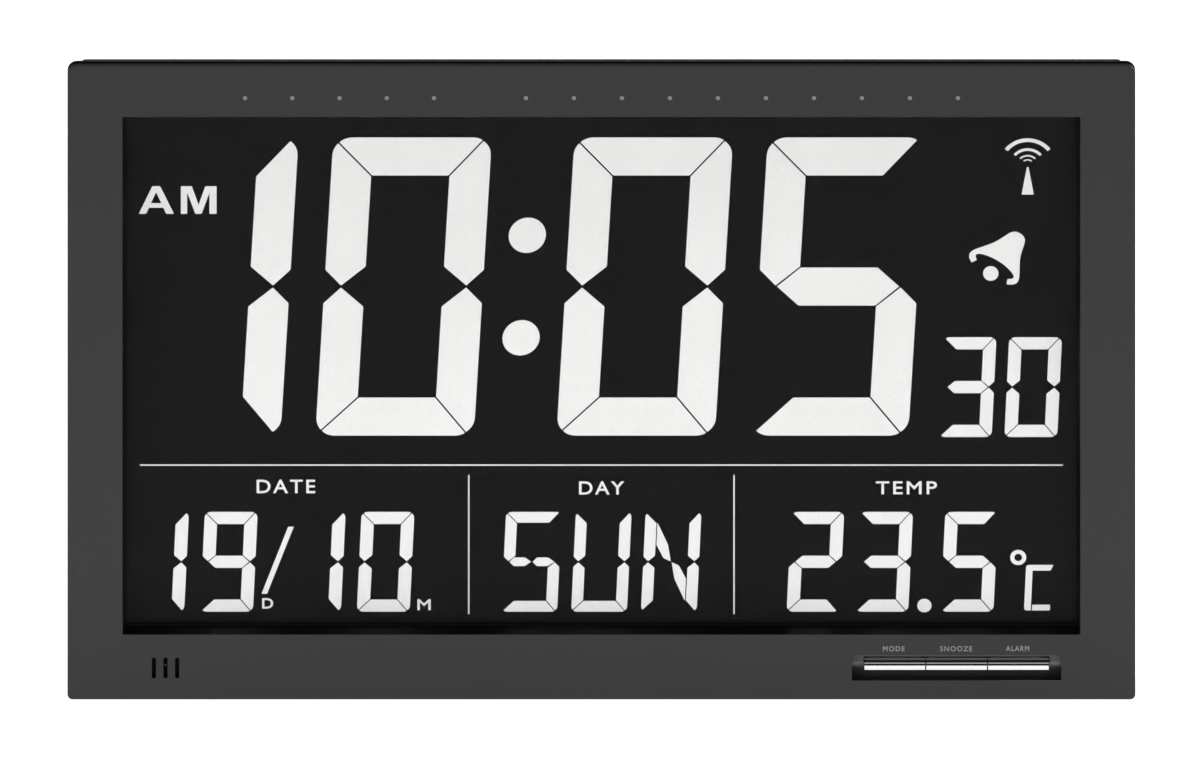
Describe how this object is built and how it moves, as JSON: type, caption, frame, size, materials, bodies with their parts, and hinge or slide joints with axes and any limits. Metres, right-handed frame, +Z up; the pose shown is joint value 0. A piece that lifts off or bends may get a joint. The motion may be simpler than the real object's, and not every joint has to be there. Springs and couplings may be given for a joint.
{
  "type": "digital alarm clock",
  "caption": "Jumbo wall and desk alarm clock: sunken black display with time, date, weekday and temperature, chrome bar keys, fold-out feet.",
  "frame": {"origin": "middle of the case's footprint, on the surface it stands on, feet folded in", "axes": "+X along the width to the viewer's right, +Y from the front face to the back, +Z up"},
  "size_m": [0.368, 0.03, 0.23],
  "materials": {
    "frame_plastic": "fine matte grain",
    "cover_plastic": "fine matte grain",
    "black_plastic": "smooth matte",
    "key_plastic": "smooth matte",
    "chrome_key": "bright plated",
    "display_glass": "clear",
    "polarising_film": "dark film with an anti-glare face",
    "lit_segment": "pale light grey",
    "foam_rubber": "soft matte",
    "circuit_board": "solder mask, satin",
    "flat_cable": "satin",
    "wire_sleeve": "satin sleeve",
    "chip_resin": "poured black resin",
    "contact_steel": "nickel plated",
    "screw_steel": "zinc plated",
    "ferrite": "matte",
    "copper_wire": "enamelled winding",
    "buzzer_brass": "rolled sheet",
    "buzzer_ceramic": "fired silver grey",
    "cell_sleeve": "printed sleeve, left plain"
  },
  "bodies": {
    "case": {"front_frame": "frame_plastic", "key_switches": "contact_steel", "key_board": "circuit_board", "key_ribbon": "flat_cable", "display_gasket": "foam_rubber", "front_film": "polarising_film", "front_glass": "display_glass", "cell_seal": "black_plastic", "time_digits": "lit_segment", "lower_digits": "lit_segment", "display_marks": "lit_segment", "rear_glass": "display_glass", "rear_film": "polarising_film", "contact_strip": "foam_rubber", "display_holder": "black_plastic", "holder_screws": "screw_steel", "main_board": "circuit_board", "board_screws": "screw_steel", "chip_covers": "chip_resin", "clock_crystal": "contact_steel", "receiver_board": "circuit_board", "receiver_chip": "chip_resin", "ferrite_rod": "ferrite", "antenna_coil": "copper_wire", "antenna_clips": "black_plastic", "sensor_board": "circuit_board", "thermistor": "chip_resin", "signal_wires": "wire_sleeve", "piezo_disc": "buzzer_brass", "piezo_ceramic": "buzzer_ceramic", "buzzer_wires": "wire_sleeve", "rear_key_board": "circuit_board", "rear_switches": "contact_steel", "rear_ribbon": "flat_cable", "rear_cover": "cover_plastic", "battery_cells": "cell_sleeve", "battery_springs": "contact_steel", "contact_plates": "contact_steel", "battery_wires": "wire_sleeve", "case_screws": "screw_steel"},
    "mode_key": {"mode_key": "chrome_key", "mode_plunger": "black_plastic"},
    "snooze_key": {"snooze_key": "chrome_key", "snooze_plunger": "black_plastic"},
    "alarm_key": {"alarm_key": "chrome_key", "alarm_plunger": "black_plastic"},
    "set_key": {"set_key": "key_plastic", "set_plunger": "black_plastic"},
    "plus_key": {"plus_key": "key_plastic", "plus_plunger": "black_plastic"},
    "minus_key": {"minus_key": "key_plastic", "minus_plunger": "black_plastic"},
    "unit_key": {"unit_key": "key_plastic", "unit_plunger": "black_plastic"},
    "battery_door": {"battery_door": "cover_plastic"},
    "stand_foot_left": {"stand_foot_left": "cover_plastic"},
    "stand_foot_right": {"stand_foot_right": "cover_plastic"}
  },
  "joints": [
    {"name": "mode_key_press", "type": "slide", "parent": "case", "child": "mode_key", "axis": [0, 1, 0], "range_m": [0, 0.0008], "stiffness_N_per_m": 1200, "springref_m": -0.0006},
    {"name": "snooze_key_press", "type": "slide", "parent": "case", "child": "snooze_key", "axis": [0, 1, 0], "range_m": [0, 0.0008], "stiffness_N_per_m": 1200, "springref_m": -0.0006},
    {"name": "alarm_key_press", "type": "slide", "parent": "case", "child": "alarm_key", "axis": [0, 1, 0], "range_m": [0, 0.0008], "stiffness_N_per_m": 1200, "springref_m": -0.0006},
    {"name": "set_key_press", "type": "slide", "parent": "case", "child": "set_key", "axis": [0, -1, 0], "range_m": [0, 0.0008], "stiffness_N_per_m": 1200, "springref_m": -0.0006},
    {"name": "plus_key_press", "type": "slide", "parent": "case", "child": "plus_key", "axis": [0, -1, 0], "range_m": [0, 0.0008], "stiffness_N_per_m": 1200, "springref_m": -0.0006},
    {"name": "minus_key_press", "type": "slide", "parent": "case", "child": "minus_key", "axis": [0, -1, 0], "range_m": [0, 0.0008], "stiffness_N_per_m": 1200, "springref_m": -0.0006},
    {"name": "unit_key_press", "type": "slide", "parent": "case", "child": "unit_key", "axis": [0, -1, 0], "range_m": [0, 0.0008], "stiffness_N_per_m": 1200, "springref_m": -0.0006},
    {"name": "battery_door_hinge", "type": "hinge", "parent": "case", "child": "battery_door", "pos_m": [0, 0.0135, 0.0647], "axis": [-1, 0, 0], "range_deg": [0, 95]},
    {"name": "stand_foot_left_hinge", "type": "hinge", "parent": "case", "child": "stand_foot_left", "pos_m": [-0.166, 0.0129, 0.0202], "axis": [0, 0, 1], "range_deg": [0, 90]},
    {"name": "stand_foot_right_hinge", "type": "hinge", "parent": "case", "child": "stand_foot_right", "pos_m": [0.166, 0.0129, 0.0202], "axis": [0, 0, -1], "range_deg": [0, 90]}
  ]
}
